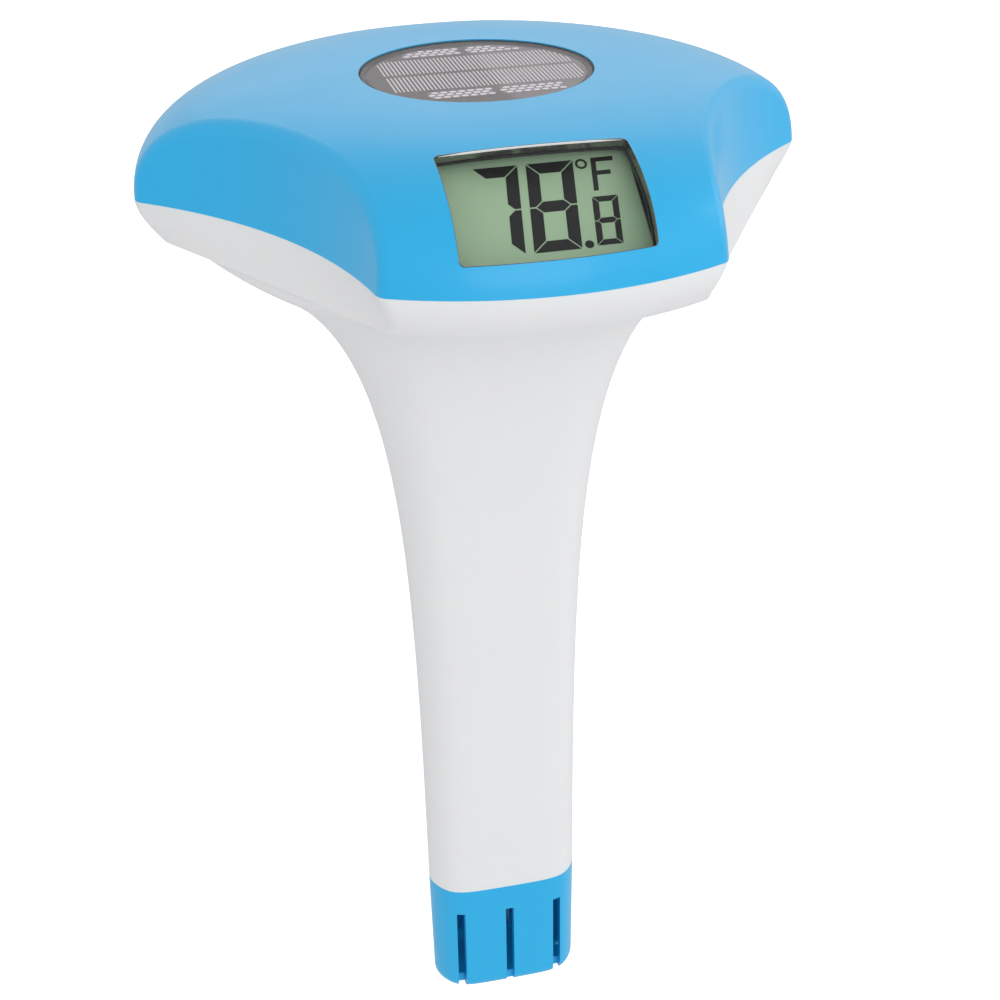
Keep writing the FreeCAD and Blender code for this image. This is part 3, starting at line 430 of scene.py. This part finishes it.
def ring(shape, inner, outer, low, high):
    """A closed round ring with its axis up the middle of the head."""
    rows = []
    for radius, level in ((inner, low), (outer, low), (outer, high), (inner, high)):
        row = []
        for i in range(RING_STEPS):
            turn = 2 * math.pi * i / RING_STEPS
            row.append(shape.verts.new((radius * math.cos(turn), radius * math.sin(turn), level)))
        rows.append(row)
    for i in range(RING_STEPS):
        j = (i + 1) % RING_STEPS
        for first, second in zip(rows, rows[1:] + rows[:1]):
            shape.faces.new((first[i], first[j], second[j], second[i]))


# ---------------------------------------------------------------- painted shade round the solar window

SHADE_RING_GAP = 0.01 * MM
SHADE_RING_WIDTH = 0.13 * MM
BEAD_LAP_INWARD = 0.05 * MM
BEAD_LAP_OUTWARD = 0.28 * MM
BEAD_RISE = 0.04 * MM


def gap_shade_ring(shape):
    """Dark rings beside the window and beside the cell, with a low dark bead over the joint: painted shade
    for the gaps round them.
    """
    window = SOLAR_WINDOW_HIGH.x
    top = SOLAR_WINDOW_HIGH.z
    beside = window + SHADE_RING_GAP
    ring(shape, beside, beside + SHADE_RING_WIDTH, SOLAR_GASKET_LOW.z, top)
    ring(shape, window - BEAD_LAP_INWARD, window + BEAD_LAP_OUTWARD, top, top + BEAD_RISE)
    beside = PANEL_RADIUS + SHADE_RING_GAP
    ring(shape, beside, beside + SHADE_RING_WIDTH, PANEL_LOW.z, PANEL_TOP)


# ---------------------------------------------------------------- solar cell printing

PRINT_CENTRE = 2.0 * MM
PRINT_REACH = PANEL_RADIUS - 0.4 * MM
PRINT_RISE = 0.03 * MM

FINGERS = 49
FINGER_PITCH = 0.86 * MM
FINGER_WIDTH = 0.31 * MM
SHORTEST_FINGER = 1.0 * MM
FINGERS_ASIDE = 1.2 * MM
ROW_GAP = 1.7 * MM
ROW_DEPTH = 11.4 * MM


def clipped_row(x, near, far):
    """The stretch of a front-to-back line that lies on the round cell."""
    reach = math.sqrt(max(PRINT_REACH ** 2 - x ** 2, 0))
    return max(near, -reach), min(far, reach)


def fingers(shape):
    """Two rows of thin collector lines that run front to back."""
    half = FINGER_WIDTH / 2
    for near in (PRINT_CENTRE - ROW_GAP / 2 - ROW_DEPTH, PRINT_CENTRE + ROW_GAP / 2):
        for i in range(FINGERS):
            x = (i - (FINGERS - 1) / 2) * FINGER_PITCH + FINGERS_ASIDE
            low, high = clipped_row(abs(x) + FINGER_WIDTH, near, near + ROW_DEPTH)
            if high - low < SHORTEST_FINGER:
                continue
            outline = [(x - half, low), (x + half, low), (x + half, high), (x - half, high)]
            slab(shape, outline, PANEL_TOP, PANEL_TOP + PRINT_RISE)


BLOCK_WIDTH = 13.4 * MM
BLOCK_DEPTH = 5.2 * MM
BLOCK_OFFSET = 14.2 * MM
BLOCK_GAP = 1.9 * MM
BLOCKS_ASIDE = 1.0 * MM
BLOCK_EDGE_STEPS = 8

DOT_COLUMNS = 7
DOT_ROWS = 3
DOT_SHIFTS = (0.75, 0.25)
DOT_CORNERS = 10
DOT_HALF_WIDTH = 0.78 * MM
DOT_HALF_DEPTH = 0.62 * MM
DOT_MARGIN = 1.0 * MM


def block_corners():
    """The low corner of each of the four contact blocks."""
    for left in (-BLOCK_GAP / 2 - BLOCK_WIDTH, BLOCK_GAP / 2):
        for near in (-BLOCK_OFFSET - BLOCK_DEPTH, BLOCK_OFFSET):
            yield left + BLOCKS_ASIDE, PRINT_CENTRE + near


def pulled_in(x, y):
    """A point moved in to the edge of the print, if it lies outside it."""
    share = min(1.0, PRINT_REACH / math.hypot(x, y))
    return x * share, y * share


def block_bases(shape):
    """The four contact blocks, cut off by the round edge of the cell."""
    for left, near in block_corners():
        columns = [left + BLOCK_WIDTH * i / BLOCK_EDGE_STEPS for i in range(BLOCK_EDGE_STEPS + 1)]
        front = [pulled_in(x, near) for x in columns]
        back = [pulled_in(x, near + BLOCK_DEPTH) for x in reversed(columns)]
        slab(shape, front + back, PANEL_TOP, PANEL_TOP + PRINT_RISE)


def block_dots(shape):
    """Pale ovals printed on each contact block, with every other row shifted along."""
    turns = [2 * math.pi * corner / DOT_CORNERS for corner in range(DOT_CORNERS)]
    oval = [(DOT_HALF_WIDTH * math.cos(turn), DOT_HALF_DEPTH * math.sin(turn)) for turn in turns]
    for left, near in block_corners():
        for row in range(DOT_ROWS):
            for column in range(DOT_COLUMNS):
                x = left + BLOCK_WIDTH * (column + DOT_SHIFTS[row % 2]) / DOT_COLUMNS
                y = near + BLOCK_DEPTH * (row + 0.5) / DOT_ROWS
                if math.hypot(x, y) <= PRINT_REACH - DOT_MARGIN:
                    outline = [(x + across, y + along) for across, along in oval]
                    slab(shape, outline, PANEL_TOP + PRINT_RISE, PANEL_TOP + 2 * PRINT_RISE)


# Painted shade: dark rings and a bead where the gaps round the solar window fall into shadow.
mesh_piece("solar_gap_shade_ring", gap_shade_ring, GAP_SHADE)
mesh_piece("solar_fingers", fingers, SILVER)
mesh_piece("solar_contact_blocks", block_bases, PAD)
mesh_piece("solar_contact_dots", block_dots, SILVER)


# ---------------------------------------------------------------- display surround

TRIM_GAP = 0.01 * MM
TRIM_THICKNESS = 0.11 * MM
SAME_PLACE = 0.001 * MM
WALL_TILT = 0.5

EDGE_STEPS = 60
EDGE_ARCH = 8
EDGE_WIDTH = 0.75 * MM
EDGE_HEIGHT = 0.16 * MM
EDGE_SINK = 0.02 * MM
EDGE_INSET = 0.9 * MM
# The bead's middle and half width, as shares of its width, measured down from the window's top edge.
EDGE_MIDDLE = 0.55
EDGE_HALF = 0.5
# How steeply the bead fills out from its two ends, and how full it is at the very ends.
EDGE_TAPER = 6
EDGE_BLUNT = 0.15
FAR_OUT = 10.0


def display_outward():
    """The direction that the display faces, from the largest face of its glass."""
    faces = [face for face in NODES["lcd_panel"].data.polygons if face.normal.z > 0]
    return max(faces, key=lambda face: face.area).normal.copy()


def window_shaded_liner(shape):
    """A thin dark glossy liner round the display window, grown outwards from the window's own side walls: a
    black-chrome finish whose dark tone is partly painted shade for the recessed walls of the opening.
    """
    outward = display_outward()
    shape.from_mesh(NODES["lcd_window"].data)
    bmesh.ops.remove_doubles(shape, verts=shape.verts, dist=SAME_PLACE)
    flat = [face for face in shape.faces if abs(face.normal.dot(outward)) > WALL_TILT]
    bmesh.ops.delete(shape, geom=flat, context="FACES")
    bmesh.ops.recalc_face_normals(shape, faces=shape.faces)
    shape.normal_update()
    centre = sum((vert.co for vert in shape.verts), Vector()) / len(shape.verts)
    wall = list(shape.faces)
    outside = {}
    for vert in list(shape.verts):
        away = vert.normal - outward * vert.normal.dot(outward)
        away.normalize()
        if away.dot(vert.co - centre) < 0:
            away.negate()
        outside[vert] = shape.verts.new(vert.co + away * TRIM_THICKNESS)
        vert.co += away * TRIM_GAP
    for edge in [edge for edge in shape.edges if edge.is_boundary]:
        first, second = edge.verts
        shape.faces.new((first, second, outside[second], outside[first]))
    for face in wall:
        shape.faces.new([outside[vert] for vert in face.verts])


def bead_arch(lens, foot, upward, outward, share):
    """The points of one arch of the bead, laid on the lens; share is how full the bead is there."""
    points = []
    for j in range(EDGE_ARCH + 1):
        turn = math.pi * j / EDGE_ARCH
        below = EDGE_WIDTH * (EDGE_MIDDLE - EDGE_HALF * share * math.cos(turn))
        spot = lens.ray_cast(foot - upward * below + outward * FAR_OUT, -outward)[0]
        if spot:
            points.append(spot + outward * (EDGE_HEIGHT * math.sin(turn) * share - EDGE_SINK))
    return points


def painted_highlight_bead(shape):
    """A pale rounded bead along the top edge of the display window, laid on its curved face: a painted
    highlight for the light caught on the lens's top edge.
    """
    window = NODES["lcd_window"].data
    outward = display_outward()
    across = Vector((1, 0, 0))
    upward = outward.cross(across)
    corners = [vert.co.copy() for vert in window.vertices]
    lens = BVHTree.FromPolygons(corners, [list(face.vertices) for face in window.polygons])
    top = max(corner.dot(upward) for corner in corners)
    low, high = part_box("lcd_window")
    start = low.x + EDGE_INSET
    length = high.x - EDGE_INSET - start
    rows = []
    for i in range(EDGE_STEPS + 1):
        foot = across * (start + length * i / EDGE_STEPS) + upward * top
        share = min(1.0, EDGE_TAPER * min(i, EDGE_STEPS - i) / EDGE_STEPS + EDGE_BLUNT)
        points = bead_arch(lens, foot, upward, outward, share)
        if len(points) == EDGE_ARCH + 1:
            rows.append([shape.verts.new(point) for point in points])
    for first, second in zip(rows, rows[1:]):
        for j in range(EDGE_ARCH):
            shape.faces.new((first[j], first[j + 1], second[j + 1], second[j]))
        shape.faces.new((first[EDGE_ARCH], first[0], second[0], second[EDGE_ARCH]))
    shape.faces.new(rows[0][::-1])
    shape.faces.new(rows[-1])


# The bead is a painted highlight along the top edge of the display lens.
mesh_piece("window_painted_highlight_bead", painted_highlight_bead, PAINTED_EDGE_HIGHLIGHT)
# The liner's dark tone is partly painted shade for the recessed walls of the display window.
mesh_piece("window_shaded_liner", window_shaded_liner, SHADED_LINER)


# ---------------------------------------------------------------- floor, light and camera

FLOOR_REACH = 6.0
GUARD_TRAVEL = 36 * MM
FLOOR_CLEARANCE = 2 * MM
FLOOR_LEVEL = -GUARD_TRAVEL - FLOOR_CLEARANCE
FLOOR_GLOW_SEEN = 0.5
FLOOR_GLOW_BOUNCED = 0.227


def floor_material():
    """Pale paper that looks white, while it bounces only soft grey light on to the object."""
    s = Shader("floor_paper")
    seen = s.add("LightPath").outputs["Is Camera Ray"]
    paper = s.mix(s.noise(scale=8), linear(244, 245, 246), linear(250, 250, 251))
    s.colour(s.mix(seen, linear(190, 190, 192), paper))
    glow = s.span(seen, FLOOR_GLOW_BOUNCED, FLOOR_GLOW_SEEN)
    s.join(glow, s.surface.inputs["Emission Strength"])
    s.bump(s.noise(scale=600), strength=0.02, depth=0.2 * MM)
    s.set(Roughness=0.8, Emission_Color=(1.0, 1.0, 1.0, 1.0))
    return s.material


def floor():
    """A plain floor, low enough to stay clear of the guard when it is pulled off."""
    mesh = bpy.data.meshes.new("floor")
    signs = ((-1, -1), (1, -1), (1, 1), (-1, 1))
    corners = [(x * FLOOR_REACH, y * FLOOR_REACH, FLOOR_LEVEL) for x, y in signs]
    mesh.from_pydata(corners, [], [(0, 1, 2, 3)])
    mesh.materials.append(floor_material())
    piece = bpy.data.objects.new("floor", mesh)
    scene.collection.objects.link(piece)


WORLD_STRENGTH = 0.755


def surroundings():
    """Even white light from all round."""
    world = bpy.data.worlds.new("studio")
    world.use_nodes = True
    back = world.node_tree.nodes["Background"]
    back.inputs["Color"].default_value = (1.0, 1.0, 1.0, 1.0)
    back.inputs["Strength"].default_value = WORLD_STRENGTH
    scene.world = world


def soft_box(name, spot, wide, tall, power):
    """A rectangular area light that faces the head."""
    light = bpy.data.lights.new(name, "AREA")
    light.shape = "RECTANGLE"
    light.size = wide
    light.size_y = tall
    light.energy = power
    holder = bpy.data.objects.new(name, light)
    holder.location = spot
    aim = Vector((0, 0, SEAM)) - Vector(spot)
    holder.rotation_euler = aim.to_track_quat("-Z", "Y").to_euler()
    scene.collection.objects.link(holder)


CAMERA_AZIMUTH = math.radians(-13.03)
CAMERA_ELEVATION = math.radians(27.66)
CAMERA_ROLL = math.radians(-1.22)
CAMERA_DISTANCE = 6.173 * HEAD_RADIUS
CAMERA_LENS = 69.5
CAMERA_SENSOR = 36.0
AIM_ASIDE = 0.0413 * HEAD_RADIUS
AIM_BELOW_SEAM = 1.0815 * HEAD_RADIUS


def camera():
    """The camera, turned round the object's axis and then rolled."""
    across = Vector((math.cos(CAMERA_AZIMUTH), math.sin(CAMERA_AZIMUTH), 0))
    level = Vector((math.sin(CAMERA_AZIMUTH), -math.cos(CAMERA_AZIMUTH), 0))
    back = level * math.cos(CAMERA_ELEVATION) + Vector((0, 0, math.sin(CAMERA_ELEVATION)))
    up = back.cross(across)
    right = across * math.cos(CAMERA_ROLL) + up * math.sin(CAMERA_ROLL)
    top = up * math.cos(CAMERA_ROLL) - across * math.sin(CAMERA_ROLL)
    aim = across * AIM_ASIDE + Vector((0, 0, SEAM - AIM_BELOW_SEAM))
    data = bpy.data.cameras.new("camera")
    data.lens = CAMERA_LENS
    data.sensor_width = CAMERA_SENSOR
    eye = bpy.data.objects.new("camera", data)
    turn = Matrix((right, top, back)).transposed()
    eye.matrix_world = Matrix.Translation(aim + back * CAMERA_DISTANCE) @ turn.to_4x4()
    scene.collection.objects.link(eye)
    scene.camera = eye


floor()
surroundings()
soft_box("front", spot=(0.05, -1.2, 0.35), wide=0.8, tall=0.8, power=2.5)
soft_box("front_right", spot=(0.7, -0.95, 0.45), wide=0.8, tall=0.8, power=0.55)
soft_box("right", spot=(1.2, 0.0, 0.6), wide=0.8, tall=0.8, power=2.0)
soft_box("back", spot=(0.3, 1.1, 0.75), wide=1.2, tall=0.6, power=0.6)
camera()
